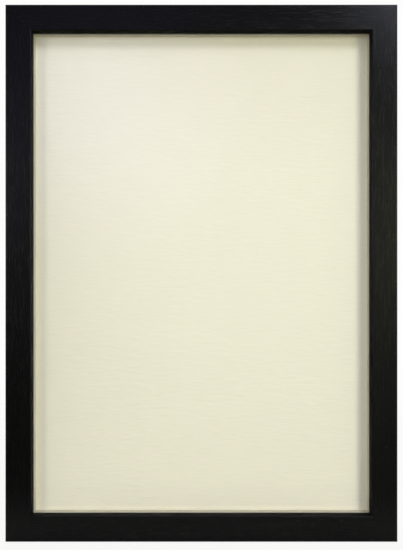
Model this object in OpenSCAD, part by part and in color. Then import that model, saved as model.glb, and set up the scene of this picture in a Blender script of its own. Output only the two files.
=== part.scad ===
// Picture frame for one sheet, upright and facing -Y, with +Z up and +X to the viewer's right.
// The origin is the middle of the flat underside that the frame stands on.
// Four mitred rails carry a lip at the front and a rebate behind it. In the rebate lie, from
// the front, the glazing pane, four spacers that hold it off the sheet, the facing paper on
// its float board, and the backing board. Left and right are those of someone in front.

/* [Sheet] */
// Width of the sheet, the boards and the pane
sheet_w = 210; // [180:1:420]
// Height of the sheet, the boards and the pane
sheet_h = 297; // [250:1:600]
// Free space round the sheet in the rebate, on each side
sheet_play = 1; // [0.4:0.1:2]

/* [Moulding] */
// Width of the rails seen from the front
face_w = 15.5; // [14:0.5:40]
// Depth of the lip, from the front face to the rebate
lip_t = 6; // [3:0.5:12]
// Width of the rebate behind the lip
rebate_w = 4; // [3:0.5:5]
// Radius of the two outer arrises
outer_r = 0.8; // [0.3:0.1:2]
// Radius of the arris round the window
sight_r = 0.7; // [0.2:0.1:1.5]

/* [Stack in the rebate] */
// Thickness of the glazing pane
pane_t = 2; // [1:0.5:4]
// Thickness of the spacers, by which the pane stands off the sheet
spacer_t = 3; // [2:0.5:12]
// How far the spacers stand inside the window
spacer_proud = 0.2; // [0:0.1:1]
// Gap between the spacers and the wall of the rebate
spacer_fit = 0.2; // [0.1:0.1:0.8]
// Thickness of the facing paper
paper_t = 0.5; // [0.2:0.1:1]
// Thickness of the float board
float_t = 3; // [2:0.5:6]
// Thickness of the backing board
board_t = 3; // [2.5:0.5:6]
// How far the backing board lies below the back of the rails
stack_play = 0.1; // [0.1:0.1:1]

/* [Corner nails] */
// Length of each leg of a V-nail
nail_leg = 4; // [3:0.5:4.5]
// Thickness of the V-nail's sheet
nail_t = 0.5; // [0.3:0.1:0.8]
// Depth of a V-nail in the wood
nail_h = 8; // [5:0.5:12]
// Length of the curl at the end of each leg
nail_curl = 1; // [0.6:0.1:1.2]
// Distance of the outer V-nail from the corner, along each rail
nail_inset = 2.4; // [1.8:0.1:2.8]
// Wood between the inner V-nail and the rebate
nail_wall = 0.9; // [0.6:0.1:1.2]
// Gap between a V-nail and its slot
nail_fit = 0.05; // [0.02:0.01:0.1]

/* [Turn buttons] */
// Thickness of a turn button
button_t = 1.2; // [0.8:0.1:2]
// Radius of a button's round end, about its screw
button_r = 4; // [3.2:0.1:4.2]
// Radius of a button's tip
button_tip_r = 2.8; // [2:0.1:3.2]
// Distance from the screw to the centre of the tip
button_reach = 14; // [10:0.5:18]
// Distance from the screw to the edge of the rebate
button_set = 5.7; // [4.5:0.1:6]
// Length of the tip that is bent up for the finger
button_bend = 4.5; // [3:0.5:6]
// Height that the tip is bent up
button_lift = 1.1; // [0.5:0.1:2]
// Distance between the two buttons on the top rail and on the bottom rail
rail_button_pitch = 124; // [100:1:140]
// Distance between the two buttons on each stile
stile_button_pitch = 200; // [190:1:210]
// Gap between a button and what lies over and under it
button_gap = 0.1; // [0.05:0.01:0.2]
// Gap round the screw in the button's hole
button_fit = 0.08; // [0.02:0.01:0.1]

/* [Screws] */
// Radius of the screw heads
head_r = 2.8; // [2.2:0.1:3.2]
// Height of the screw heads
head_h = 1.9; // [1.2:0.1:2.4]
// Height of the straight rim under the dome of the head
head_rim = 0.4; // [0.2:0.1:0.8]
// Radius of the screw shanks
screw_r = 1.5; // [1.1:0.1:1.8]
// Length of the screws under the head
screw_l = 11; // [8:0.5:13]
// Length of the point of the screws
screw_tip = 3; // [2:0.5:4]
// Gap between a screw and the wood round it
screw_fit = 0.05; // [0.02:0.01:0.1]
// Width of the arms of the cross recess
recess_w = 0.8; // [0.5:0.1:1.1]
// Length of the arms of the cross recess, from end to end
recess_l = 3.2; // [2.4:0.1:4]
// Depth of the cross recess
recess_d = 1; // [0.6:0.1:1.2]

/* [Ring hangers] */
// Distance from the top of the frame to the eye of the hangers
hanger_drop = 100; // [80:1:110]
// Width of the hanger straps
strap_w = 8; // [7:0.1:8.2]
// Thickness of the straps' sheet, which lies double
strap_t = 0.8; // [0.5:0.1:1]
// Distance from the strap to the edge of the rebate
strap_inset = 0.3; // [0.2:0.1:0.6]
// Radius of the ring's wire
wire_r = 0.9; // [0.7:0.1:1.1]
// Gap round the wire in the eye
eye_fit = 0.1; // [0.02:0.01:0.1]
// Radius of the bends beside the eye, at the middle of the wire
bend_r = 1.5; // [1.3:0.1:1.8]
// Length of the ring's straight sides
ring_side = 3; // [2:0.5:5]
// Gap between the ring and the strap, at the eye's ends and where the ring lies on the strap
ring_gap = 0.3; // [0.2:0.05:0.5]
// Gap between the ring that hangs and the head of the strap's screw
strap_head_gap = 0.6; // [0.4:0.1:2]

/* [Wall bumpers] */
// Radius of the bumpers
bumper_r = 4.5; // [3.5:0.1:5.2]
// Thickness of the bumpers
bumper_t = 3; // [2:0.5:5]
// Radius of the bumpers' rounded edge
bumper_edge = 1.2; // [0.6:0.1:1.6]
// Distance from the sides and the bottom of the frame to the bumpers' centres
bumper_inset = 6; // [5.5:0.1:6.5]

/* [Strut] */
// Length of the strut from the hinge pin to the foot
strut_l = 200; // [150:1:215]
// Height of the folded strut's foot over the surface that the frame stands on
foot_gap = 6; // [4:1:10]
// Thickness of the strut leg
leg_t = 3; // [2.5:0.1:4.5]
// Width of the strut leg at its top
leg_top_w = 26; // [24:1:34]
// Width of the strut leg at its foot
leg_foot_w = 54; // [40:1:60]
// Radius of the strut leg's corners
leg_r = 5; // [2:0.5:8]
// Width of the arch in the foot
arch_w = 26; // [18:1:28]
// Height of the arch in the foot
arch_h = 5; // [3:0.5:8]
// Gap between the folded strut and the backing board
leg_clear = 1.3; // [1:0.1:2]
// Angle to which the strut opens
strut_open = 26; // [20:1:35]

/* [Strut hinge] */
// Thickness of the hinge leaves
leaf_t = 1; // [0.7:0.1:1.3]
// Outer radius of the knuckles
barrel_r = 2.5; // [2.3:0.1:3]
// Radius of the hinge pin
pin_r = 1.2; // [0.9:0.1:1.2]
// Gap round the pin in the knuckles
pin_fit = 0.05; // [0.02:0.01:0.1]
// Radius of the pin's heads
pin_head_r = 1.9; // [1.6:0.1:2.2]
// Thickness of the pin's heads
pin_head_t = 0.6; // [0.4:0.1:1]
// Width of the middle knuckle
knuckle_w = 8; // [6:0.5:9]
// Gap between moving pieces of the hinge
hinge_gap = 0.3; // [0.2:0.05:0.5]
// Width of the leaf on the board
board_leaf_w = 26; // [24:1:40]
// Height of the leaf on the board, over the pin
board_leaf_h = 22; // [20:1:30]
// Width of the leaf on the leg
leg_leaf_w = 20; // [18:1:22]
// Length of the leaf on the leg, under the pin
leg_leaf_h = 24; // [22:1:34]
// Radius of the leaves' corners
leaf_r = 3; // [1:0.5:5]
// Width of the stop tongue
tongue_w = 6; // [4:0.5:6]
// Gap between the stop tongue and the board's leaf when the strut is open
stop_gap = 0.15; // [0.1:0.05:0.3]

/* [Rivets] */
// Radius of the rivets' shanks
rivet_r = 1.5; // [1.2:0.1:1.8]
// Radius of the rivets' domed heads
rivet_head_r = 2.7; // [2.2:0.1:3]
// Height of the rivets' domed heads
rivet_head_h = 0.9; // [0.6:0.1:1.2]
// Height of the straight rim under the dome of the head
rivet_head_rim = 0.2; // [0.1:0.05:0.4]
// Radius of the rivets' flared tails
rivet_tail_r = 2.3; // [2:0.1:2.8]
// Depth of the rivets' flared tails
rivet_tail_h = 0.8; // [0.5:0.1:1.2]
// Gap between a rivet and its hole
rivet_fit = 0.05; // [0.02:0.01:0.1]
// Distance between the two rivets of the leaf on the board
board_rivet_pitch = 16; // [12:1:18]
// Distance between the two rivets of the leaf on the leg
leg_rivet_pitch = 11; // [8:1:12]
// Distance from the pin to each row of rivets
rivet_row = 16; // [14:0.5:17]

/* [Hidden] */
$fn = 48;
// Steps of an arc in an outline, and how far a cut runs past the faces that it opens
arc_steps = 8;
over = 1;

// Finishes
black_paint = [0.08, 0.08, 0.085];
clear_glass = [0.82, 0.9, 0.88, 0.3];
cream_plastic = [0.85, 0.83, 0.75];
cream_paper = [0.89, 0.87, 0.78];
white_board = [0.93, 0.92, 0.88];
brown_board = [0.5, 0.37, 0.25];
black_board = [0.13, 0.125, 0.12];
bright_steel = [0.74, 0.74, 0.72];
dark_rubber = [0.15, 0.15, 0.16];

// Rebate, window and outside of the frame
hold_w = sheet_w + 2 * sheet_play;
hold_h = sheet_h + 2 * sheet_play;
rail_back_w = face_w - rebate_w;
outer_w = hold_w + 2 * rail_back_w;
outer_h = hold_h + 2 * rail_back_w;

// Depths, from the front face to the back, with the middle of the rails at y = 0
rail_d = lip_t + pane_t + spacer_t + paper_t + float_t + board_t + stack_play;
y_front = -rail_d / 2;
y_back = rail_d / 2;
y_pane = y_front + lip_t;
y_spacer = y_pane + pane_t;
y_paper = y_spacer + spacer_t;
y_float = y_paper + paper_t;
y_board = y_float + float_t;
y_board_back = y_board + board_t;

spacer_w = rebate_w - spacer_fit + spacer_proud;
spaced_w = hold_w - 2 * spacer_fit;
spaced_h = hold_h - 2 * spacer_fit;

// Distance of the inner V-nail from the corner
nail_inner = rail_back_w - nail_wall - nail_leg;

// Places of the buttons and the hangers, counted inwards from the outer edge of a rail
button_v = rail_back_w - button_set;
hanger_v = rail_back_w - strap_inset - strap_w / 2;
button_stand = button_t + 2 * button_gap;

// The ring is a D: a bar in the eye, two bends, two sides and a half circle
hanger_z = outer_h - hanger_drop;
bar_half = strap_w / 2 + ring_gap;
ring_half = bar_half + bend_r;
ring_len = bend_r + ring_side + ring_half;
eye_r = wire_r + eye_fit;
eye_y = strap_t + eye_r;
strap_screw_drop = ring_len + wire_r + strap_head_gap + head_r;
// Tilt of the hanging ring, which lies on the strap where its half circle crosses the strap's sides
ring_touch = bend_r + ring_side + sqrt(ring_half * ring_half - strap_w * strap_w / 4);
ring_tilt = asin((2 * strap_t + ring_gap + wire_r - eye_y) / ring_touch);

// The hinge pin stands off the board far enough for the knuckles and for the folded leg
pin_off = max(barrel_r + hinge_gap, leg_clear + leg_t + leaf_t - barrel_r);
y_pin = y_board_back + pin_off;
z_pin = foot_gap + strut_l;
y_leg_leaf = y_pin + barrel_r - leaf_t;
y_leg = y_leg_leaf - leg_t;
knuckle_half = knuckle_w / 2;
// Height of the tongue over the pin, at which its tip meets the board's leaf at the full angle
tongue_h = (pin_off - leaf_t - stop_gap + (barrel_r - leaf_t) * cos(strut_open)) / sin(strut_open);

// Sides are numbered bottom 0, right 1, top 2 and left 3; corner k is where side k begins
function outward(k) = [sin(90 * k), -cos(90 * k)];
function along(k) = [cos(90 * k), sin(90 * k)];
function side_length(k) = k % 2 == 0 ? outer_w : outer_h;
function side_middle(k) = [0, outer_h / 2]
    + [outward(k).x * outer_w / 2, outward(k).y * outer_h / 2];
// A place in the x-z plane, u along side k from its middle and v inwards from its outer edge
function on_side(k, u, v) = side_middle(k) + u * along(k) - v * outward(k);
function at_corner(k, inset) = on_side(k, inset - side_length(k) / 2, inset);
function button_place(k, s) =
    on_side(k, s * (k % 2 == 0 ? rail_button_pitch : stile_button_pitch) / 2, button_v);
function hanger_x(s) = s * (outer_w / 2 - hanger_v);

// Points of an arc about c, and of an outline whose corners are rounded to radius r
function arc(c, r, from, sweep) =
    [for (i = [0:arc_steps]) c + r * [cos(from + sweep * i / arc_steps), sin(from + sweep * i / arc_steps)]];
function unit(v) = v / norm(v);
function heading(v) = atan2(v.y, v.x);
function turn(a) = (a + 540) % 360 - 180;
function rounded_corner(p, q, s, r) =
    let (a = unit(p - q), b = unit(s - q), half = acos(a * b) / 2)
    let (c = q + unit(a + b) * r / sin(half))
    let (from = heading(q + a * r / tan(half) - c), to = heading(q + b * r / tan(half) - c))
    arc(c, r, from, turn(to - from));
function rounded(points, r) = let (n = len(points))
    [for (i = [0:n - 1]) each rounded_corner(points[(i + n - 1) % n], points[i], points[(i + 1) % n], r)];

// A plate whose outline lies in the x-z plane, from y to y + t
module plate(y, t) {
    translate([0, y + t, 0])
        rotate([90, 0, 0])
            linear_extrude(t)
                children();
}

// Stands a piece that is made along +Z on a point of the back, pointing along +Y
module on_back(place, y) {
    translate([place.x, y, place.y])
        rotate([-90, 0, 0])
            children();
}

// A quarter-round cut for the arris at the origin of the first quadrant
module arris(r) {
    difference() {
        translate([-over, -over])
            square(r + over);
        translate([r, r])
            circle(r);
    }
}

// Section of the moulding: x runs from the outer edge to the window, y from the front to the back
module moulding_section() {
    difference() {
        square([face_w, rail_d]);
        translate([rail_back_w, lip_t])
            square([rebate_w + over, rail_d]);
        arris(outer_r);
        translate([0, rail_d])
            mirror([0, 1])
                arris(outer_r);
        translate([face_w, 0])
            mirror([1, 0])
                arris(sight_r);
    }
}

module screw_pilot(place) {
    on_back(place, y_back - screw_l - screw_fit)
        cylinder(r = screw_r + screw_fit, h = screw_l + screw_fit + over);
}

// Outline of a V-nail whose legs run along +x and +y from its apex, grown by g all round
module v_nail_outline(g) {
    half = nail_t / 2 + g;
    translate([-half, -half])
        square([nail_leg + half + g, 2 * half]);
    translate([-half, -half])
        square([2 * half, nail_leg + half + g]);
    translate([nail_leg - nail_t - g, -nail_curl - g])
        square([2 * half, nail_curl + g]);
    translate([-nail_curl - g, nail_leg - nail_t - g])
        square([nail_curl + g, 2 * half]);
}

// The two V-nails of corner k, or their slots when g is above zero
module corner_nails(k, g, past) {
    plate(y_back - nail_h - g, nail_h + g + past)
        for (inset = [nail_inset, nail_inner])
            translate(at_corner(k, inset))
                rotate(90 * k)
                    v_nail_outline(g);
}

// One rail, mitred at both ends, with its screw holes and the slots of the V-nails
module rail(k) {
    l = side_length(k);
    mid = side_middle(k);
    stile_side = outward(k).x;
    color(black_paint)
        difference() {
            translate([mid.x, y_front, mid.y])
                rotate([0, -90 * k, 0])
                    intersection() {
                        rotate([0, -90, 0])
                            linear_extrude(l, center = true)
                                moulding_section();
                        plate(-over, rail_d + 2 * over)
                            polygon([[-l / 2, 0], [l / 2, 0], [l / 2 - face_w, face_w], [face_w - l / 2, face_w]]);
                    }
            for (s = [-1, 1])
                screw_pilot(button_place(k, s));
            if (stile_side != 0)
                screw_pilot([hanger_x(stile_side), hanger_z - strap_screw_drop]);
            corner_nails(k, nail_fit, over);
            corner_nails((k + 1) % 4, nail_fit, over);
        }
}

module corner_v_nails() {
    color(bright_steel)
        for (k = [0:3])
            corner_nails(k, 0, 0);
}

// A sheet that fills the rebate, less its play
module sheet(y, t) {
    plate(y, t)
        translate([-sheet_w / 2, (outer_h - sheet_h) / 2])
            square([sheet_w, sheet_h]);
}

module glazing_pane() {
    color(clear_glass)
        sheet(y_pane, pane_t);
}

// Top and bottom spacers run the full width, and the side spacers stand between them
module spacer(k) {
    l = k % 2 == 0 ? spaced_w : spaced_h - 2 * spacer_w;
    color(cream_plastic)
        plate(y_spacer, spacer_t)
            translate(on_side(k, 0, rail_back_w + spacer_fit))
                rotate(90 * k)
                    translate([-l / 2, 0])
                        square([l, spacer_w]);
}

module facing_paper() {
    color(cream_paper)
        sheet(y_paper, paper_t);
}

module float_board() {
    color(white_board)
        sheet(y_float, float_t);
}

// Places of the two rivets in a row, dz from the hinge pin
function rivet_places(pitch, dz) = [for (s = [-1, 1]) [s * pitch / 2, z_pin + dz]];

// A rivet along +Z: flared tail at z = 0, head on top of a grip, all grown by g in radius
module rivet(grip, g) {
    rotate_extrude()
        polygon([
            [0, -g], [rivet_tail_r + g, -g], [rivet_r + g, rivet_tail_h], [rivet_r + g, grip],
            [0, grip]
        ]);
}

module rivet_head(grip) {
    translate([0, 0, grip])
        dome(rivet_head_r, rivet_head_h, rivet_head_rim);
}

// A domed head of radius r and height h, with a straight rim under the dome
module dome(r, h, rim) {
    rise = h - rim;
    ball_r = (r * r + rise * rise) / (2 * rise);
    rotate_extrude() {
        intersection() {
            translate([0, h - ball_r])
                circle(ball_r);
            translate([0, rim])
                square([r, h]);
        }
        square([r, rim]);
    }
}

module backing_board() {
    color(brown_board)
        difference() {
            sheet(y_board, board_t);
            for (p = rivet_places(board_rivet_pitch, rivet_row))
                on_back(p, y_board)
                    rivet(board_t + over, rivet_fit);
        }
}

// Outline of a turn button that points along +y, from its screw at the origin
module button_outline() {
    lean = asin((button_r - button_tip_r) / button_reach);
    polygon([
        each arc([0, button_reach], button_tip_r, lean, 180 - 2 * lean),
        each arc([0, 0], button_r, 180 - lean, 180 + 2 * lean)
    ]);
}

// A stamped button: flat over the screw, and bent up at the tip, with s the end of its side
module turn_button(k, s) {
    place = button_place(k, s);
    tip = button_reach + button_tip_r;
    bend = tip - button_bend;
    color(bright_steel)
        translate([place.x, y_back + button_gap, place.y])
            rotate([0, -90 * k, 0])
                difference() {
                    intersection() {
                        plate(0, button_t + button_lift)
                            button_outline();
                        rotate([90, 0, 90])
                            linear_extrude(2 * button_r, center = true)
                                polygon([
                                    [0, -button_r], [button_t, -button_r], [button_t, bend],
                                    [button_t + button_lift, tip], [button_lift, tip], [0, bend]
                                ]);
                    }
                    rotate([-90, 0, 0])
                        translate([0, 0, -over])
                            cylinder(r = screw_r + button_fit, h = button_t + 2 * over);
                }
}

// A round-head screw along +Z with the underside of its head at z = 0
module screw() {
    difference() {
        union() {
            dome(head_r, head_h, head_rim);
            rotate_extrude()
                polygon([[0, 0], [screw_r, 0], [screw_r, screw_tip - screw_l], [0, -screw_l]]);
        }
        for (a = [45, 135])
            rotate([0, 0, a])
                translate([-recess_l / 2, -recess_w / 2, head_h - recess_d])
                    cube([recess_l, recess_w, recess_d + over]);
    }
}

module turn_button_screws() {
    color(bright_steel)
        for (k = [0:3], s = [-1, 1])
            on_back(button_place(k, s), y_back + button_stand)
                screw();
}

// Section of a strap folded round the ring: x stands off the back, y runs up, eye at the origin
module strap_section() {
    down = strap_screw_drop + strap_w / 2;
    shut = eye_r + 2 * strap_t;
    difference() {
        union() {
            circle(eye_r + strap_t);
            translate([-eye_y, -down])
                square([strap_t, down]);
            translate([strap_t - eye_y, -down])
                square([strap_t, down - shut]);
            polygon([
                [-eye_y, -shut], [2 * strap_t - eye_y, -shut], [eye_r + strap_t, 0], [-eye_y, 0]
            ]);
        }
        circle(eye_r);
    }
}

// s is -1 for the left strap and 1 for the right one
module hanger_strap(s) {
    x = hanger_x(s);
    screw_z = hanger_z - strap_screw_drop;
    color(bright_steel)
        difference() {
            intersection() {
                translate([x, y_back + eye_y, hanger_z])
                    rotate([90, 0, 90])
                        linear_extrude(strap_w, center = true)
                            strap_section();
                plate(y_back - over, 2 * eye_y + 2 * over)
                    translate([x, screw_z]) {
                        circle(strap_w / 2);
                        translate([-strap_w / 2, 0])
                            square([strap_w, strap_screw_drop + eye_y + over]);
                    }
            }
            on_back([x, screw_z], y_back - over)
                cylinder(r = screw_r + button_fit, h = 2 * strap_t + 2 * over);
        }
}

// A stretch of the ring's wire bent about the origin of the x-z plane
module wire_bend(r, from, sweep) {
    rotate([90, 0, 0])
        rotate([0, 0, from])
            rotate_extrude(angle = sweep)
                translate([r, 0])
                    circle(wire_r);
}

module hanger_ring(s) {
    color(bright_steel)
        translate([hanger_x(s), y_back + eye_y, hanger_z])
            rotate([ring_tilt, 0, 0]) {
                rotate([0, 90, 0])
                    cylinder(r = wire_r, h = 2 * bar_half, center = true);
                translate([bar_half, 0, -bend_r])
                    wire_bend(bend_r, 0, 90);
                translate([-bar_half, 0, -bend_r])
                    wire_bend(bend_r, 90, 90);
                for (e = [-1, 1])
                    translate([e * ring_half, 0, -bend_r - ring_side])
                        cylinder(r = wire_r, h = ring_side);
                translate([0, 0, -bend_r - ring_side])
                    wire_bend(ring_half, 180, 180);
            }
}

module hanger_screws() {
    color(bright_steel)
        for (s = [-1, 1])
            on_back([hanger_x(s), hanger_z - strap_screw_drop], y_back + 2 * strap_t)
                screw();
}

module wall_bumper(s) {
    color(dark_rubber)
        on_back([s * (outer_w / 2 - bumper_inset), bumper_inset], y_back)
            rotate_extrude() {
                square([bumper_r, bumper_t - bumper_edge]);
                square([bumper_r - bumper_edge, bumper_t]);
                translate([bumper_r - bumper_edge, bumper_t - bumper_edge])
                    circle(bumper_edge);
            }
}

// The leg widens to an arched foot; its outline hangs from the hinge pin
module strut_leg() {
    top = z_pin - barrel_r - hinge_gap;
    arch_r = (arch_w * arch_w / 4 + arch_h * arch_h) / (2 * arch_h);
    color(black_board)
        difference() {
            plate(y_leg, leg_t)
                polygon(rounded([
                    [-leg_foot_w / 2, foot_gap], [leg_foot_w / 2, foot_gap],
                    [leg_top_w / 2, top], [-leg_top_w / 2, top]
                ], leg_r));
            on_back([0, foot_gap + arch_h - arch_r], y_leg - over)
                cylinder(r = arch_r, h = leg_t + 2 * over);
            for (p = rivet_places(leg_rivet_pitch, -rivet_row))
                on_back(p, y_leg)
                    rivet(leg_t + over, rivet_fit);
        }
}

module rivet_holes(pitch, dz, y) {
    for (p = rivet_places(pitch, dz))
        on_back(p, y - over)
            cylinder(r = rivet_r + rivet_fit, h = leaf_t + 2 * over);
}

module knuckle(from, to) {
    translate([from, y_pin, z_pin])
        rotate([0, 90, 0])
            cylinder(r = barrel_r, h = to - from);
}

module pin_bore() {
    translate([0, y_pin, z_pin])
        rotate([0, 90, 0])
            cylinder(r = pin_r + pin_fit, h = board_leaf_w + 2 * over, center = true);
}

// The leaf on the leg carries the middle knuckle and, over it, the tongue that stops the strut
module strut_leg_leaf() {
    head = z_pin - barrel_r - hinge_gap;
    foot = z_pin - leg_leaf_h;
    half = leg_leaf_w / 2;
    color(bright_steel)
        difference() {
            union() {
                plate(y_leg_leaf, leaf_t) {
                    polygon(rounded([[-half, foot], [half, foot], [half, head], [-half, head]], leaf_r));
                    translate([-knuckle_half, head - leaf_r])
                        square([knuckle_w, z_pin - head + leaf_r]);
                    translate([-tongue_w / 2, z_pin])
                        square([tongue_w, tongue_h]);
                }
                knuckle(-knuckle_half, knuckle_half);
            }
            pin_bore();
            rivet_holes(leg_rivet_pitch, -rivet_row, y_leg_leaf);
        }
}

// The leaf on the board turns out of the board's plane to its two outer knuckles
module strut_board_leaf() {
    half = board_leaf_w / 2;
    open_half = knuckle_half + hinge_gap;
    low = z_pin + barrel_r - leaf_t;
    high = z_pin + board_leaf_h;
    color(bright_steel)
        difference() {
            union() {
                plate(y_board_back, leaf_t)
                    polygon(rounded([[-half, low], [half, low], [half, high], [-half, high]], leaf_r));
                plate(y_board_back, pin_off)
                    for (s = [-1, 1])
                        translate([s * (half + open_half) / 2 - (half - open_half) / 2, low])
                            square([half - open_half, leaf_t]);
                knuckle(-half, -open_half);
                knuckle(open_half, half);
            }
            translate([-open_half, y_board_back - over, z_pin - barrel_r - over])
                cube([2 * open_half, pin_off + barrel_r + 2 * over, 2 * barrel_r + hinge_gap + over]);
            pin_bore();
            rivet_holes(board_rivet_pitch, rivet_row, y_board_back);
        }
}

module strut_hinge_pin() {
    color(bright_steel)
        translate([0, y_pin, z_pin])
            rotate([0, 90, 0]) {
                cylinder(r = pin_r, h = board_leaf_w, center = true);
                for (s = [-1, 1])
                    translate([0, 0, s * (board_leaf_w + pin_head_t) / 2])
                        cylinder(r = pin_head_r, h = pin_head_t, center = true);
            }
}

module rivets(pitch, dz, y, grip) {
    color(bright_steel)
        for (p = rivet_places(pitch, dz))
            on_back(p, y) {
                rivet(grip, 0);
                rivet_head(grip);
            }
}

rail(2);  // top_rail
rail(0);  // bottom_rail
rail(3);  // left_stile
rail(1);  // right_stile
corner_v_nails();
glazing_pane();
spacer(2);  // spacer_top
spacer(0);  // spacer_bottom
spacer(3);  // spacer_left
spacer(1);  // spacer_right
facing_paper();
float_board();
backing_board();
turn_button(2, 1);  // turn_button_top_left
turn_button(2, -1);  // turn_button_top_right
turn_button(0, -1);  // turn_button_bottom_left
turn_button(0, 1);  // turn_button_bottom_right
turn_button(3, -1);  // turn_button_left_upper
turn_button(3, 1);  // turn_button_left_lower
turn_button(1, 1);  // turn_button_right_upper
turn_button(1, -1);  // turn_button_right_lower
turn_button_screws();
hanger_strap(-1);  // hanger_strap_left
hanger_strap(1);  // hanger_strap_right
hanger_ring(-1);  // hanger_ring_left
hanger_ring(1);  // hanger_ring_right
hanger_screws();
wall_bumper(-1);  // wall_bumper_left
wall_bumper(1);  // wall_bumper_right
strut_leg();
strut_leg_leaf();
strut_board_leaf();
strut_hinge_pin();
rivets(leg_rivet_pitch, -rivet_row, y_leg, leg_t + leaf_t);  // strut_leg_rivets
rivets(board_rivet_pitch, rivet_row, y_board, board_t + leaf_t);  // strut_board_rivets
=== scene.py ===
"""An upright black picture frame with a cream sheet set back behind its window, seen square on.

Everything is in metres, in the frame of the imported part: +Z up, the front towards -Y, and the
underside of the frame at z = 0. The rails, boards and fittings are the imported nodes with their
finishes. The facing sheet is made here, as crinkled paper in the place of its plain node.
"""

import math

import bpy
import numpy as np
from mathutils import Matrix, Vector


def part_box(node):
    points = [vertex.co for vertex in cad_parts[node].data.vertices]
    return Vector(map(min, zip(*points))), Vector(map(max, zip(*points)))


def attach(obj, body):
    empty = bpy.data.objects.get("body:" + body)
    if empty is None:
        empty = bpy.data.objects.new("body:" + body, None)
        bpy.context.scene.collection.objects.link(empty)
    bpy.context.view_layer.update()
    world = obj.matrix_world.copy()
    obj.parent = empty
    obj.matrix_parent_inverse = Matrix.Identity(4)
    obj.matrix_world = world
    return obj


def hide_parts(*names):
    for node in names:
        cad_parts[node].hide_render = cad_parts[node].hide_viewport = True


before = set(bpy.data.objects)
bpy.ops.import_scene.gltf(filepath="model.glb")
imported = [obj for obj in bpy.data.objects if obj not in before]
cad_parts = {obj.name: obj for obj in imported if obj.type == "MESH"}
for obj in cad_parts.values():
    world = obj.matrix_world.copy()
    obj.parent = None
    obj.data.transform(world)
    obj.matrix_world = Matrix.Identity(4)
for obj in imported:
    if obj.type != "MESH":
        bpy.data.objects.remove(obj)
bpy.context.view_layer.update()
scene = bpy.context.scene
MM = 0.001

# Sizes of the frame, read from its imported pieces
bottom_edge, top_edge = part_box("bottom_rail")[0].z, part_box("top_rail")[1].z
right_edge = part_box("right_stile")[1].x
rail_width = right_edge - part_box("right_stile")[0].x
front_face, back_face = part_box("top_rail")[0].y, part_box("top_rail")[1].y
window_middle = Vector((0, front_face, (bottom_edge + top_edge) / 2))
BUTTONS = [f"turn_button_{place}" for place in (
    "top_left", "top_right", "bottom_left", "bottom_right",
    "left_upper", "left_lower", "right_upper", "right_lower")]


def linear(code):
    """Linear red, green, blue and alpha of an sRGB colour written as #rrggbb."""
    share = np.array([int(code[i:i + 2], 16) for i in (1, 3, 5)]) / 255
    low, high = share / 12.92, ((share + 0.055) / 1.055) ** 2.4
    return (*np.where(share <= 0.04045, low, high).tolist(), 1.0)


def cells(size_mm):
    """Scale at which a pattern on Object coordinates has cells of that size in millimetres."""
    return 1 / (size_mm * MM)


def add(tree, kind, inputs=None, out=0, **settings):
    """Adds a shader node. settings are its properties. inputs gives its sockets, by name or by
    number among those that the settings leave in use, a value or the output that feeds them.
    Returns the output that out names or numbers."""
    node = tree.nodes.new("ShaderNode" + kind)
    for name, value in settings.items():
        setattr(node, name, value)
    for key, value in (inputs or {}).items():
        used = [s for s in node.inputs if s.enabled]
        socket = used[key] if isinstance(key, int) else next(s for s in used if s.name == key)
        if isinstance(value, bpy.types.NodeSocket):
            tree.links.new(value, socket)
        else:
            socket.default_value = value
    given = [s for s in node.outputs if s.enabled]
    return given[out] if isinstance(out, int) else next(s for s in given if s.name == out)


def new_material(name):
    """A new material with an empty node tree. Returns it, its tree and its Object coordinates."""
    material = bpy.data.materials.new(name)
    material.use_nodes = True
    material.node_tree.nodes.clear()
    return material, material.node_tree, add(material.node_tree, "TexCoord", out="Object")


def close(tree, shader):
    """Feeds the finished shader to the material's output."""
    tree.links.new(shader, tree.nodes.new("ShaderNodeOutputMaterial").inputs["Surface"])


def give(material, *nodes):
    """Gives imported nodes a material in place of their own."""
    for name in nodes:
        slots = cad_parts[name].data.materials
        for i in range(len(slots)):
            slots[i] = material


# The camera stands square on, 390 mm in front of the frame, as the depth of the lip that shows
# all round the window says. The scale and the middle of the outline are those at the front face,
# and the sensor's 36 mm span the photograph's height.
PHOTO_W, PHOTO_H = 403, 550
PIXELS_PER_MM = 1.6705
OUTLINE_MIDDLE_PX = (201.4, 273.25)
CAMERA_DISTANCE = 390 * MM
SENSOR_MM = 36.0

pixel = MM / PIXELS_PER_MM
camera_data = bpy.data.cameras.new("camera")
camera_data.sensor_width = SENSOR_MM
camera_data.lens = SENSOR_MM * CAMERA_DISTANCE / (PHOTO_H * pixel)
camera_data.clip_start, camera_data.clip_end = 0.01, 20
camera = bpy.data.objects.new("camera", camera_data)
camera.location = window_middle + Vector((
    (PHOTO_W / 2 - OUTLINE_MIDDLE_PX[0]) * pixel,
    -CAMERA_DISTANCE,
    (OUTLINE_MIDDLE_PX[1] - PHOTO_H / 2) * pixel))
camera.rotation_euler = (math.radians(90), 0, 0)
scene.collection.objects.link(camera)
scene.camera = camera
scene.view_settings.view_transform = "Standard"


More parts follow.
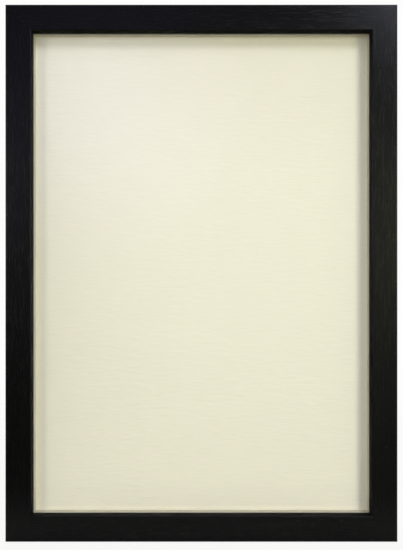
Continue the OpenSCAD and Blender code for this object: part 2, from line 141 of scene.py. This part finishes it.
def painted_wood(name, along):
    """Close-pored hardwood, planed, stained and sprayed with satin black lacquer: almost no colour
    of its own, a soft sheen, and fine open pores that run along the rail."""
    material, tree, place = new_material(name)
    # Pores are 0.15 mm wide and 2 to 10 mm long; they are drawn 0.5 mm wide, so that they show
    stretch = [1 / 18 if axis == along else 1 for axis in "XYZ"]
    grain_place = add(tree, "Mapping", {"Vector": place, "Scale": stretch})
    pores = add(tree, "TexNoise", {
        "Vector": grain_place, "Scale": cells(0.5), "Detail": 3, "Roughness": 0.6})
    pores = add(tree, "MapRange", {"Value": pores, "From Min": 0.5, "From Max": 0.68})
    # Growth bands, 4 mm wide, and the mottle of the sprayed film, 1.5 mm
    bands = add(tree, "TexNoise", {"Vector": grain_place, "Scale": cells(4), "Detail": 2})
    film = add(tree, "TexNoise", {"Vector": place, "Scale": cells(1.5), "Detail": 2})
    # Dust that has settled in the lacquer: specks of 0.3 mm, drawn 0.5 mm, about 12 mm apart
    dust = add(tree, "TexVoronoi", {"Vector": place, "Scale": cells(12), "Randomness": 1})
    dust = add(tree, "MapRange", {
        "Value": dust, "From Min": 0.018, "From Max": 0.03, "To Min": 0.35, "To Max": 0})

    # How far a spot lies in from the nearer side edge, and from the nearer top or bottom edge
    spot = add(tree, "SeparateXYZ", {"Vector": place}).node.outputs
    from_side = add(tree, "Math", {0: spot["X"]}, operation="ABSOLUTE")
    from_side = add(tree, "Math", {0: right_edge, 1: from_side}, operation="SUBTRACT")
    from_end = add(tree, "Math", {0: spot["Z"], 1: window_middle.z}, operation="SUBTRACT")
    from_end = add(tree, "Math", {0: from_end}, operation="ABSOLUTE")
    from_end = add(tree, "Math", {
        0: top_edge - window_middle.z, 1: from_end}, operation="SUBTRACT")

    # Hairline where two rails meet at the mitre, 0.2 mm wide
    apart = add(tree, "Math", {0: from_side, 1: from_end}, operation="SUBTRACT")
    apart = add(tree, "Math", {0: apart}, operation="ABSOLUTE")
    mitre = add(tree, "MapRange", {
        "Value": apart, "From Min": 0.05 * MM, "From Max": 0.2 * MM, "To Min": 1, "To Max": 0})

    # The spray reaches the lip's walls only at a slant, so there it lies dry and matt
    inward = add(tree, "Math", {0: from_side, 1: from_end}, operation="MINIMUM")
    lip = add(tree, "MapRange", {
        "Value": inward, "From Min": rail_width - 0.4 * MM, "From Max": rail_width - 0.1 * MM})

    # Arrises rubbed thin: where the normal of a 0.6 mm bevel leaves the face's own, in patches of
    # 9 mm
    bevelled = add(tree, "Bevel", {"Radius": 0.6 * MM}, samples=4)
    own = add(tree, "NewGeometry", out="True Normal")
    edge = add(tree, "VectorMath", {0: bevelled, 1: own}, out="Value", operation="DOT_PRODUCT")
    edge = add(tree, "MapRange", {"Value": edge, "From Min": 0.98, "From Max": 0.8})
    patches = add(tree, "TexNoise", {"Vector": place, "Scale": cells(9), "Detail": 5})
    patches = add(tree, "MapRange", {
        "Value": patches, "From Min": 0.55, "From Max": 0.7, "To Max": 0.5})
    worn = add(tree, "Math", {0: edge, 1: patches}, operation="MULTIPLY")
    outside_lip = add(tree, "Math", {0: 1, 1: lip}, operation="SUBTRACT")
    worn = add(tree, "Math", {0: worn, 1: outside_lip}, operation="MULTIPLY")

    colour = add(tree, "Mix", {
        "Factor": bands, "A": linear("#050505"), "B": linear("#080808")}, data_type="RGBA")
    colour = add(tree, "Mix", {
        "Factor": pores, "A": colour, "B": linear("#040404")}, data_type="RGBA")
    colour = add(tree, "Mix", {
        "Factor": worn, "A": colour, "B": linear("#3b352e")}, data_type="RGBA")
    colour = add(tree, "Mix", {
        "Factor": dust, "A": colour, "B": linear("#55534c")}, data_type="RGBA")
    colour = add(tree, "Mix", {
        "Factor": mitre, "A": colour, "B": linear("#040404")}, data_type="RGBA")
    rough = add(tree, "MapRange", {
        "Value": film, "From Min": 0.3, "From Max": 0.7, "To Min": 0.19, "To Max": 0.23})
    rough = add(tree, "Math", {0: pores, 1: 0.12, 2: rough}, operation="MULTIPLY_ADD")
    rough = add(tree, "Math", {0: lip, 1: 0.5, 2: rough}, operation="MULTIPLY_ADD")

    # Pores are 0.007 mm deep, the film's orange peel 0.002 mm, and the mitre's line 0.01 mm
    height = add(tree, "Math", {0: pores, 1: -0.007}, operation="MULTIPLY")
    height = add(tree, "Math", {0: film, 1: 0.002, 2: height}, operation="MULTIPLY_ADD")
    height = add(tree, "Math", {0: mitre, 1: -0.01, 2: height}, operation="MULTIPLY_ADD")
    normal = add(tree, "Bump", {"Height": height, "Distance": MM, "Strength": 1})
    close(tree, add(tree, "BsdfPrincipled", {
        "Base Color": colour, "Roughness": rough, "Normal": normal, "IOR": 1.5,
        "Specular IOR Level": 0.13}))
    return material


give(painted_wood("satin_black_lacquer_on_wood_grain_across", "X"), "top_rail", "bottom_rail")
give(painted_wood("satin_black_lacquer_on_wood_grain_upright", "Z"), "left_stile", "right_stile")


def float_glass():
    """Clear soda-lime float glass with seamed edges: colourless through its face, with a faint
    roller ripple that bends reflections. Light from the lamps passes straight through."""
    material, tree, place = new_material("clear_float_glass")
    # The rollers' ripple is 40 mm from crest to crest and 0.002 mm high
    ripple = add(tree, "TexNoise", {"Vector": place, "Scale": cells(40), "Detail": 1})
    normal = add(tree, "Bump", {"Height": ripple, "Distance": 0.002 * MM, "Strength": 1})
    glass = add(tree, "BsdfPrincipled", {
        "Base Color": linear("#fdfdfd"), "Roughness": 0.0, "IOR": 1.52,
        "Transmission Weight": 1.0, "Normal": normal})
    clear = add(tree, "BsdfTransparent", {"Color": linear("#fbfbfb")})
    rays = add(tree, "LightPath").node.outputs
    straight = add(tree, "Math", {
        0: rays["Is Shadow Ray"], 1: rays["Is Diffuse Ray"]}, operation="MAXIMUM")
    close(tree, add(tree, "MixShader", {0: straight, 1: glass, 2: clear}))
    return material


give(float_glass(), "glazing_pane")


def extruded_plastic():
    """Ivory rigid PVC, extruded: an even, slightly waxy sheen with faint die lines along it."""
    material, tree, place = new_material("ivory_extruded_pvc")
    # Die lines 0.3 mm apart run the length of the strip, across its thickness. The melt has left
    # a mottle of 7 mm
    lines = add(tree, "Mapping", {"Vector": place, "Scale": (0.02, 1, 0.02)})
    lines = add(tree, "TexNoise", {"Vector": lines, "Scale": cells(0.3), "Detail": 2})
    mottle = add(tree, "TexNoise", {"Vector": place, "Scale": cells(7), "Detail": 3})
    # The spacers' ivory is drawn greyer and darker than the sheet's cream: painted shade for the
    # shade on their walls inside the lip, on top of the melt's mottle
    colour = add(tree, "Mix", {
        "Factor": mottle, "A": linear("#c6c1aa"), "B": linear("#d2cdb9")}, data_type="RGBA")
    rough = add(tree, "MapRange", {"Value": lines, "To Min": 0.34, "To Max": 0.5})
    normal = add(tree, "Bump", {"Height": lines, "Distance": 0.01 * MM, "Strength": 1})
    close(tree, add(tree, "BsdfPrincipled", {
        "Base Color": colour, "Roughness": rough, "Normal": normal, "IOR": 1.53,
        "Subsurface Weight": 0.05, "Subsurface Scale": 0.5 * MM}))
    return material


give(extruded_plastic(), "spacer_top", "spacer_bottom", "spacer_left", "spacer_right")


def crinkled_paper():
    """Ivory uncoated paper, creped on its cylinder: matt, with fine soft ridges across the sheet,
    a fibrous tooth, and painted shade that darkens the hollows."""
    material, tree, place = new_material("ivory_crepe_paper")
    ridge_place = add(tree, "Mapping", {"Vector": place, "Scale": (0.16, 1, 1)})
    # Fine crepe 0.7 mm from ridge to ridge and up to 5 mm long, on top of the modelled ridges
    ridges = add(tree, "TexNoise", {
        "Vector": ridge_place, "Scale": cells(0.7), "Detail": 2, "Distortion": 0.2})
    # Paper fibres are 0.02 mm thick; their clumps are drawn 0.35 mm wide, so that they show. The
    # pulp is cloudy, 35 mm from cloud to cloud
    fibres = add(tree, "TexNoise", {"Vector": place, "Scale": cells(0.35), "Detail": 4})
    cloud = add(tree, "TexNoise", {"Vector": place, "Scale": cells(35), "Detail": 3})
    # The colour follows the fine crepe: its hollows are drawn darker, as painted shade, and its
    # ridges lighter
    colour = add(tree, "Mix", {
        "Factor": ridges, "A": linear("#e8e4cd"), "B": linear("#eeead4")}, data_type="RGBA")
    clouded = add(tree, "MapRange", {"Value": cloud, "To Min": 0.98, "To Max": 1.01})
    colour = add(tree, "VectorMath", {0: colour, "Scale": clouded}, operation="SCALE")
    # The fine crepe is 0.015 mm high, and the fibres stand 0.006 mm proud
    height = add(tree, "Math", {0: ridges, 1: 0.015}, operation="MULTIPLY")
    height = add(tree, "Math", {0: fibres, 1: 0.006, 2: height}, operation="MULTIPLY_ADD")
    normal = add(tree, "Bump", {"Height": height, "Distance": MM, "Strength": 1})
    close(tree, add(tree, "BsdfPrincipled", {
        "Base Color": colour, "Roughness": 0.85, "Normal": normal, "IOR": 1.45,
        "Specular IOR Level": 0.3}))
    return material


# Rows of creping: how far the ridges are blurred along x and along z, in millimetres, how much
# they lean, and their share of the relief
CREPE_ROWS = ((1.4, 0.33, 0.0, 0.8), (2.4, 0.55, 0.12, 0.3), (5.0, 1.8, -0.35, 0.11))
CREPE_SEED = 7
# Relief at which ridges and hollows are cut off
CREPE_LIMIT = 2.5
# Half the depth of the creping where the sheet has been handled, the share of it that the rest of
# the sheet has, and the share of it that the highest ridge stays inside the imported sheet's front
CREPE_DEPTH, UNHANDLED_SHARE, CLEARANCE_SHARE = 0.09 * MM, 0.8, 0.05
# Middle of the handled area and its reach, along x and along z
HANDLED_X, HANDLED_Z = (-60 * MM, 55 * MM), (235 * MM, 70 * MM)
# Points of the sheet's grid, 1.5 mm apart along x and 0.45 mm along z
SHEET_ACROSS, SHEET_UP = 141, 661


def creping(across, up, step_x, step_z):
    """Height of the creping, -1 to 1, on a grid. For each row, white noise from a fixed seed is
    blurred by a Gaussian that is long along x and thin along z, by a product with the Gaussian's
    own transform in the frequency plane. The rows are added by their shares and clipped."""
    draws = np.random.default_rng(CREPE_SEED)
    turns_x = np.fft.fftfreq(across, step_x)[:, None]
    turns_z = np.fft.rfftfreq(up, step_z)[None, :]
    relief = np.zeros((across, up))
    for long, thin, lean, share in CREPE_ROWS:
        noise = np.fft.rfft2(draws.standard_normal((across, up)))
        along, over = turns_x + lean * turns_z, turns_z - lean * turns_x
        noise *= np.exp(-2 * math.pi ** 2 * MM ** 2 * ((long * along) ** 2 + (thin * over) ** 2))
        row = np.fft.irfft2(noise, (across, up))
        relief += share * row / row.std()
    return np.clip(relief / CREPE_LIMIT, -1, 1)


def facing_sheet():
    """The crinkled sheet, as a closed slab. The front is a grid of (x, z) whose depth is the
    creping, stronger near the upper left, where the sheet has been handled, by a Gaussian of the
    distance. The grid's edge carried straight back gives the walls, and its far end the flat
    back, one face."""
    low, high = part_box("facing_paper")
    x, z = np.meshgrid(np.linspace(low.x, high.x, SHEET_ACROSS),
                       np.linspace(low.z, high.z, SHEET_UP), indexing="ij")
    relief = creping(SHEET_ACROSS, SHEET_UP, x[1, 0] - x[0, 0], z[0, 1] - z[0, 0])
    handled = np.exp(-((x - HANDLED_X[0]) / HANDLED_X[1]) ** 2
                     - ((z - HANDLED_Z[0]) / HANDLED_Z[1]) ** 2)
    share = UNHANDLED_SHARE + (1 - UNHANDLED_SHARE) * handled
    y = low.y + CREPE_DEPTH * (1 + CLEARANCE_SHARE - relief * share)
    front = np.stack([x, y, z], -1).reshape(-1, 3)

    at = np.arange(len(front)).reshape(SHEET_ACROSS, SHEET_UP)
    quads = np.stack([at[:-1, :-1], at[1:, :-1], at[1:, 1:], at[:-1, 1:]], -1).reshape(-1, 4)
    edge = np.concatenate([at[:, 0], at[-1, 1:], at[-2::-1, -1], at[0, -2:0:-1]])
    rim = front[edge]
    rim[:, 1] = high.y
    behind = len(front) + np.arange(len(edge))
    walls = np.stack([edge, behind, np.roll(behind, -1), np.roll(edge, -1)], -1)
    faces = quads.tolist() + walls.tolist() + [behind[::-1].tolist()]
    mesh = bpy.data.meshes.new("facing_sheet")
    mesh.from_pydata(np.concatenate([front, rim]).tolist(), [], faces)
    mesh.polygons.foreach_set("use_smooth", np.arange(len(faces)) < len(quads))
    mesh.materials.append(crinkled_paper())
    piece = bpy.data.objects.new("facing_sheet", mesh)
    scene.collection.objects.link(piece)
    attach(piece, "frame")
    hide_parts("facing_paper")


facing_sheet()


def foam_board():
    """White foam-cored card: a smooth coated face paper with a faint tooth."""
    material, tree, place = new_material("white_coated_card")
    # The tooth of the face paper, 0.4 mm
    tooth = add(tree, "TexNoise", {"Vector": place, "Scale": cells(0.4), "Detail": 3})
    # The colour follows the tooth: its hollows are drawn darker, as painted shade
    colour = add(tree, "Mix", {
        "Factor": tooth, "A": linear("#e8e6de"), "B": linear("#f1f0ea")}, data_type="RGBA")
    normal = add(tree, "Bump", {"Height": tooth, "Distance": 0.01 * MM, "Strength": 1})
    close(tree, add(tree, "BsdfPrincipled", {
        "Base Color": colour, "Roughness": 0.7, "Normal": normal, "IOR": 1.5}))
    return material


give(foam_board(), "float_board")


# The tip of each turn button has rubbed an arc into the board: its distance from the screw, as a
# share of the button's length, half its width, and how far it is rubbed through at its middle
RUB_AT, RUB_HALF_WIDTH, RUB_SHARE = 0.74, 2.6 * MM, 0.35


def screw_place(name):
    """Where a turn button's screw stands, at the end of the button's box that lies on the rail,
    and the button's length."""
    low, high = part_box(name)
    size, at = high - low, (low + high) / 2
    radius = min(size.x, size.z) / 2
    if size.x > size.z:
        at.x = low.x + radius if at.x < 0 else high.x - radius
    else:
        at.z = low.z + radius if at.z < window_middle.z else high.z - radius
    return Vector((at.x, back_face, at.z)), max(size.x, size.z)


def pressed_fibreboard():
    """Thin MDF, hot pressed and sanded: brown, matt, mottled with darker bark and paler fibres,
    and rubbed paler in an arc by the tip of each turn button."""
    material, tree, place = new_material("sanded_mdf")
    # Fibre bundles 0.5 mm wide and 2 mm long, drawn in two directions, bark flecks of 0.8 mm, and
    # clouds of 28 mm
    one = add(tree, "Mapping", {"Vector": place, "Scale": (0.25, 1, 1)})
    other = add(tree, "Mapping", {
        "Vector": place, "Rotation": (0, math.radians(58), 0), "Scale": (0.25, 1, 1)})
    one = add(tree, "TexNoise", {"Vector": one, "Scale": cells(0.5), "Detail": 3})
    other = add(tree, "TexNoise", {"Vector": other, "Scale": cells(0.5), "Detail": 3})
    fibres = add(tree, "Math", {0: one, 1: other}, operation="ADD")
    fibres = add(tree, "MapRange", {"Value": fibres, "From Min": 0.75, "From Max": 1.25})
    flecks = add(tree, "TexVoronoi", {"Vector": place, "Scale": cells(2.6), "Randomness": 1})
    flecks = add(tree, "MapRange", {
        "Value": flecks, "From Min": 0.08, "From Max": 0.16, "To Min": 0.55, "To Max": 0})
    cloud = add(tree, "TexNoise", {"Vector": place, "Scale": cells(28), "Detail": 3})
    rubbed = 0
    for button in BUTTONS:
        screw, length = screw_place(button)
        away = add(tree, "VectorMath", {0: place, 1: screw}, out="Value", operation="DISTANCE")
        off = add(tree, "Math", {0: away, 1: RUB_AT * length}, operation="SUBTRACT")
        off = add(tree, "Math", {0: off}, operation="ABSOLUTE")
        arc = add(tree, "MapRange", {
            "Value": off, "From Max": RUB_HALF_WIDTH, "To Min": RUB_SHARE, "To Max": 0})
        rubbed = add(tree, "Math", {0: rubbed, 1: arc}, operation="MAXIMUM")
    rubbed = add(tree, "Math", {0: rubbed, 1: fibres}, operation="MULTIPLY")

    colour = add(tree, "Mix", {
        "Factor": fibres, "A": linear("#7d5d3e"), "B": linear("#9a7853")}, data_type="RGBA")
    colour = add(tree, "Mix", {
        "Factor": flecks, "A": colour, "B": linear("#4c3522")}, data_type="RGBA")
    colour = add(tree, "Mix", {
        "Factor": rubbed, "A": colour, "B": linear("#b99a76")}, data_type="RGBA")
    clouded = add(tree, "MapRange", {"Value": cloud, "To Min": 0.86, "To Max": 1.08})
    colour = add(tree, "VectorMath", {0: colour, "Scale": clouded}, operation="SCALE")
    rough = add(tree, "MapRange", {"Value": fibres, "To Min": 0.62, "To Max": 0.75})
    normal = add(tree, "Bump", {"Height": fibres, "Distance": 0.02 * MM, "Strength": 1})
    close(tree, add(tree, "BsdfPrincipled", {
        "Base Color": colour, "Roughness": rough, "Normal": normal, "IOR": 1.5}))
    return material


give(pressed_fibreboard(), "backing_board")


def plated_steel(name, light, dark, roughness, lay_mm, stretch):
    """Steel, plated or blued. Drawing lines or tumbling marks as wide as lay_mm, and longer along
    an axis with a small stretch, break the shine, and faint stains of 3.5 mm dull it."""
    material, tree, place = new_material(name)
    lines = add(tree, "Mapping", {"Vector": place, "Scale": stretch})
    lines = add(tree, "TexNoise", {
        "Vector": lines, "Scale": cells(lay_mm), "Detail": 4, "Roughness": 0.65})
    stains = add(tree, "TexNoise", {"Vector": place, "Scale": cells(3.5), "Detail": 4})
    stains = add(tree, "MapRange", {"Value": stains, "From Min": 0.45, "From Max": 0.75})
    colour = add(tree, "Mix", {
        "Factor": stains, "A": linear(light), "B": linear(dark)}, data_type="RGBA")
    rough = add(tree, "MapRange", {
        "Value": lines, "From Min": 0.3, "From Max": 0.7,
        "To Min": roughness - 0.07, "To Max": roughness + 0.09})
    rough = add(tree, "Math", {0: stains, 1: 0.12, 2: rough}, operation="MULTIPLY_ADD")
    normal = add(tree, "Bump", {"Height": lines, "Distance": 0.008 * MM, "Strength": 1})
    close(tree, add(tree, "BsdfPrincipled", {
        "Base Color": colour, "Metallic": 1.0, "Roughness": rough, "Normal": normal}))
    return material


# Drawing and tumbling marks are 0.12 mm wide; they are drawn 0.2 or 0.25 mm, so that they show
give(plated_steel("zinc_plated_tumbled_steel", "#c3c6c8", "#9d9f9c", 0.33, 0.25, (1, 1, 1)),
     *BUTTONS)
give(plated_steel("zinc_plated_turned_steel", "#c6c6c2", "#8f8d84", 0.28, 0.2, (1, 1, 1)),
     "turn_button_screws", "hanger_screws")
give(plated_steel("nickel_plated_strip_steel", "#cdc8bf", "#a39c90", 0.26, 0.2, (1, 1, 0.05)),
     "hanger_strap_left", "hanger_strap_right")
give(plated_steel("nickel_plated_drawn_wire", "#d2cdc4", "#a8a296", 0.2, 0.2, (1, 1, 0.1)),
     "hanger_ring_left", "hanger_ring_right")
give(plated_steel("zinc_plated_rolled_sheet", "#bfc2c4", "#95978f", 0.34, 0.2, (0.05, 1, 1)),
     "strut_leg_leaf", "strut_board_leaf", "strut_hinge_pin")
give(plated_steel("nickel_plated_rivet_steel", "#cbc8c0", "#98948a", 0.25, 0.25, (1, 1, 1)),
     "strut_leg_rivets", "strut_board_rivets")
give(plated_steel("blued_spring_steel", "#74777d", "#4a4338", 0.42, 0.25, (1, 1, 1)),
     "corner_v_nails")


def moulded_rubber():
    """Dark grey rubber from a spark-eroded mould: matt, very fine pitting and a bloom of dust."""
    material, tree, place = new_material("moulded_grey_rubber")
    # Mould pitting is 0.05 mm; it is drawn 0.25 mm, so that it shows. The bloom is patchy, 3 mm
    pits = add(tree, "TexNoise", {"Vector": place, "Scale": cells(0.25), "Detail": 2})
    bloom = add(tree, "TexNoise", {"Vector": place, "Scale": cells(3), "Detail": 4})
    bloom = add(tree, "MapRange", {"Value": bloom, "From Min": 0.4, "From Max": 0.8})
    colour = add(tree, "Mix", {
        "Factor": bloom, "A": linear("#26262a"), "B": linear("#403f40")}, data_type="RGBA")
    normal = add(tree, "Bump", {"Height": pits, "Distance": 0.02 * MM, "Strength": 1})
    close(tree, add(tree, "BsdfPrincipled", {
        "Base Color": colour, "Roughness": 0.78, "Normal": normal, "IOR": 1.52}))
    return material


give(moulded_rubber(), "wall_bumper_left", "wall_bumper_right")


def embossed_covering():
    """Die-cut fibreboard with black paper embossed like leather glued to both faces: a low sheen
    on the pebbles, dull creases, and the board's brown edge left bare all round."""
    material, tree, place = new_material("black_embossed_paper_on_board")
    # Pebbles of 0.9 mm with creases between them, and the board's layers, 0.3 mm thick
    pebbles = add(tree, "TexVoronoi", {
        "Vector": place, "Scale": cells(0.9), "Randomness": 0.9}, feature="SMOOTH_F1")
    soft = add(tree, "TexNoise", {"Vector": place, "Scale": cells(0.5), "Detail": 3})
    height = add(tree, "Math", {0: soft, 1: 0.3, 2: pebbles}, operation="MULTIPLY_ADD")
    facing = add(tree, "TexCoord", out="Normal")
    facing = add(tree, "SeparateXYZ", {"Vector": facing}, out="Y")
    facing = add(tree, "Math", {0: facing}, operation="ABSOLUTE")
    covered = add(tree, "MapRange", {"Value": facing, "From Min": 0.6, "From Max": 0.7})
    layers = add(tree, "Mapping", {"Vector": place, "Scale": (0.3, 2, 0.3)})
    layers = add(tree, "TexNoise", {"Vector": layers, "Scale": cells(0.6), "Detail": 3})
    bare = add(tree, "Mix", {
        "Factor": layers, "A": linear("#3d2f22"), "B": linear("#6a523a")}, data_type="RGBA")
    # The paper is drawn darker in the creases between the pebbles, as painted shade
    paper = add(tree, "Mix", {
        "Factor": pebbles, "A": linear("#1e1d1d"), "B": linear("#121111")}, data_type="RGBA")
    colour = add(tree, "Mix", {"Factor": covered, "A": bare, "B": paper}, data_type="RGBA")
    rough = add(tree, "MapRange", {"Value": pebbles, "To Min": 0.45, "To Max": 0.7})
    normal = add(tree, "Bump", {"Height": height, "Distance": 0.06 * MM, "Strength": 0.8},
                 invert=True)
    close(tree, add(tree, "BsdfPrincipled", {
        "Base Color": colour, "Roughness": rough, "Normal": normal, "IOR": 1.5}))
    return material


give(embossed_covering(), "strut_leg")


# What the camera sees of the floor and of the backdrop
WHITE = "#fdfdfc"
# Half the floor's width, its colour under and behind the frame, its colour in front, where it is
# greyer to hold down the light that it throws up, and where along y the colours change over
FLOOR_HALF = 4.0
BOARD, BOARD_AHEAD = "#e9e9e7", "#a4a4a4"
BOARD_CHANGE = (-0.1, -0.02)
# Share of its real shading, the frame's shadow with it, that the camera sees near the frame, and
# the distances at which that share starts to fade and is gone
SHADOW_SHARE, SHADOW_REACH = 0.1, (0.15, 0.7)
# Where along y metal and glass stop mirroring the floor: behind the frame they turn to the plain
# white background, and in front to the room
TO_BACKGROUND, TO_ROOM = (0.0, 0.1), (-0.04, -0.12)


def ray_kinds(tree):
    """Whether a ray comes from the camera, and whether it comes out of metal or glass."""
    rays = add(tree, "LightPath").node.outputs
    mirrored = add(tree, "Math", {
        0: rays["Is Glossy Ray"], 1: rays["Is Transmission Ray"]}, operation="MAXIMUM")
    return rays["Is Camera Ray"], mirrored


def sees_background(tree, behind):
    """1 for the camera's rays, and for rays in metal and glass that go to the side behind the
    frame, which are shown the plain background. behind is 1 on that side and 0 in front."""
    from_camera, mirrored = ray_kinds(tree)
    mirrored = add(tree, "Math", {0: mirrored, 1: behind}, operation="MULTIPLY")
    return add(tree, "Math", {0: from_camera, 1: mirrored}, operation="MAXIMUM")


def floor_material():
    """Matt white board. The camera sees mostly plain white, with a share of its real shading
    that fades with the distance from the frame. In front of the frame it is greyer, and what
    the pane mirrors there is the room beyond."""
    material, tree, place = new_material("matt_white_board")
    away = add(tree, "VectorMath", {0: place}, out="Value", operation="LENGTH")
    share = add(tree, "MapRange", {
        "Value": away, "From Min": SHADOW_REACH[0], "From Max": SHADOW_REACH[1],
        "To Min": SHADOW_SHARE, "To Max": 0}, interpolation_type="SMOOTHSTEP")
    board = add(tree, "BsdfDiffuse", {"Color": linear(BOARD)})
    plain = add(tree, "Emission", {"Color": linear(WHITE), "Strength": 1})
    shown = add(tree, "MixShader", {0: share, 1: plain, 2: board})
    depth = add(tree, "SeparateXYZ", {"Vector": place}, out="Y")
    whiter = add(tree, "MapRange", {
        "Value": depth, "From Min": BOARD_CHANGE[0], "From Max": BOARD_CHANGE[1]},
        interpolation_type="SMOOTHSTEP")
    colour = add(tree, "Mix", {
        "Factor": whiter, "A": linear(BOARD_AHEAD), "B": linear(BOARD)}, data_type="RGBA")
    real = add(tree, "BsdfDiffuse", {"Color": colour})
    behind = add(tree, "MapRange", {
        "Value": depth, "From Min": TO_BACKGROUND[0], "From Max": TO_BACKGROUND[1]})
    shader = add(tree, "MixShader", {0: sees_background(tree, behind), 1: real, 2: shown})
    ahead = add(tree, "MapRange", {
        "Value": depth, "From Min": TO_ROOM[0], "From Max": TO_ROOM[1]})
    mirrored = ray_kinds(tree)[1]
    beyond = add(tree, "Math", {0: mirrored, 1: ahead}, operation="MULTIPLY")
    clear = add(tree, "BsdfTransparent", {"Color": linear("#ffffff")})
    close(tree, add(tree, "MixShader", {0: beyond, 1: shader, 2: clear}))
    return material


floor_mesh = bpy.data.meshes.new("floor")
corners = [(FLOOR_HALF * x, FLOOR_HALF * y, 0) for x, y in ((-1, -1), (1, -1), (1, 1), (-1, 1))]
floor_mesh.from_pydata(corners, [], [(0, 1, 2, 3)])
floor_mesh.materials.append(floor_material())
floor = bpy.data.objects.new("floor", floor_mesh)
scene.collection.objects.link(floor)


# The room in front of the frame, by the way that a ray leaves the frame. Each fade is an axis of
# that way, where on it the light level starts and stops changing, the level at either end, and
# how it joins the ones before it. The room is light in the middle, and dimmer to the left, to the
# right, above and below. The last fade is a lit wall far to the left.
ROOM_FADES = (
    ("X", -0.33, 0.0, 0.02, 1.05, "MULTIPLY"),
    ("X", 0.14, 0.34, 1, 0.5, "MULTIPLY"),
    ("Z", 0.12, 0.38, 1, 0.1, "MULTIPLY"),
    ("Z", -0.45, 0.0, 0.15, 1, "MULTIPLY"),
    ("X", -0.4, -0.9, 0, 0.9, "ADD"))
ROOM_TINT = "#fffff0"
# A far window a little to the left and above: the way to it, its level and tint, and the power
# that narrows it
WINDOW_WAY = Vector((-0.15, -0.957, 0.25)).normalized()
WINDOW_LEVEL, WINDOW_TINT, WINDOW_POWER = 1.2, "#b8b4ff", 70
# Level of the backdrop behind the frame, how far along y the room fades into it, and how far along
# y metal and glass turn from the room to the plain white background
BACKDROP, BACKDROP_FADE, BACKGROUND_FADE = 0.95, (-0.3, 0.3), (-0.1, 0.1)


def studio_world():
    """White to the camera. Elsewhere a soft studio: a white backdrop behind the frame, and in
    front a room with a lit wall at the far left and the bluish haze of a far window."""
    world = bpy.data.worlds.new("studio")
    scene.world = world
    world.use_nodes = True
    tree = world.node_tree
    tree.nodes.clear()
    ray = add(tree, "TexCoord", out="Generated")
    way = add(tree, "SeparateXYZ", {"Vector": ray}).node.outputs
    front = 1
    for axis, start, stop, start_level, stop_level, joined in ROOM_FADES:
        fade = add(tree, "MapRange", {
            "Value": way[axis], "From Min": start, "From Max": stop,
            "To Min": start_level, "To Max": stop_level}, interpolation_type="SMOOTHSTEP")
        front = add(tree, "Math", {0: front, 1: fade}, operation=joined)
    level = add(tree, "MapRange", {
        "Value": way["Y"], "From Min": BACKDROP_FADE[0], "From Max": BACKDROP_FADE[1],
        "To Min": front, "To Max": BACKDROP}, interpolation_type="SMOOTHSTEP")
    room = add(tree, "Background", {"Color": linear(ROOM_TINT), "Strength": level})
    toward = add(tree, "VectorMath", {0: ray, 1: WINDOW_WAY}, out="Value", operation="DOT_PRODUCT")
    toward = add(tree, "Math", {0: toward, 1: 0}, operation="MAXIMUM")
    window = add(tree, "Math", {0: toward, 1: WINDOW_POWER}, operation="POWER")
    window = add(tree, "Math", {0: window, 1: WINDOW_LEVEL}, operation="MULTIPLY")
    window = add(tree, "Background", {"Color": linear(WINDOW_TINT), "Strength": window})
    room = add(tree, "AddShader", {0: room, 1: window})
    plain = add(tree, "Background", {"Color": linear(WHITE), "Strength": 1})
    behind = add(tree, "MapRange", {
        "Value": way["Y"], "From Min": BACKGROUND_FADE[0], "From Max": BACKGROUND_FADE[1]})
    shader = add(tree, "MixShader", {0: sees_background(tree, behind), 1: room, 2: plain})
    tree.links.new(shader, tree.nodes.new("ShaderNodeOutputWorld").inputs["Surface"])


studio_world()

# Soft boxes: degrees to the right of the way the frame faces, degrees up, width in metres, power
# in watts and colour. None stands where the camera would see it in the pane.
LAMP_DISTANCE = 2.4
LAMPS = {
    "key_softbox_upper_right": (29, 32, 0.63, 26.0, "#eceeff"),
    "softbox_lower_right": (33, 5, 0.63, 16.1, "#fffed8"),
    "softbox_above": (-6, 49, 1.05, 7.8, "#eeeeff"),
    "softbox_left": (-34, 8, 0.5, 11.5, "#ffffff"),
}
for name, (right, up, width, power, tint) in LAMPS.items():
    turn, rise = math.radians(right), math.radians(up)
    away = Vector((
        math.sin(turn) * math.cos(rise), -math.cos(turn) * math.cos(rise), math.sin(rise)))
    lamp_data = bpy.data.lights.new(name, "AREA")
    lamp_data.shape = "SQUARE"
    lamp_data.size, lamp_data.energy, lamp_data.color = width, power, linear(tint)[:3]
    lamp = bpy.data.objects.new(name, lamp_data)
    lamp.location = window_middle + LAMP_DISTANCE * away
    lamp.rotation_euler = (-away).to_track_quat("-Z", "Y").to_euler()
    lamp.visible_camera = False
    scene.collection.objects.link(lamp)

bpy.context.view_layer.update()
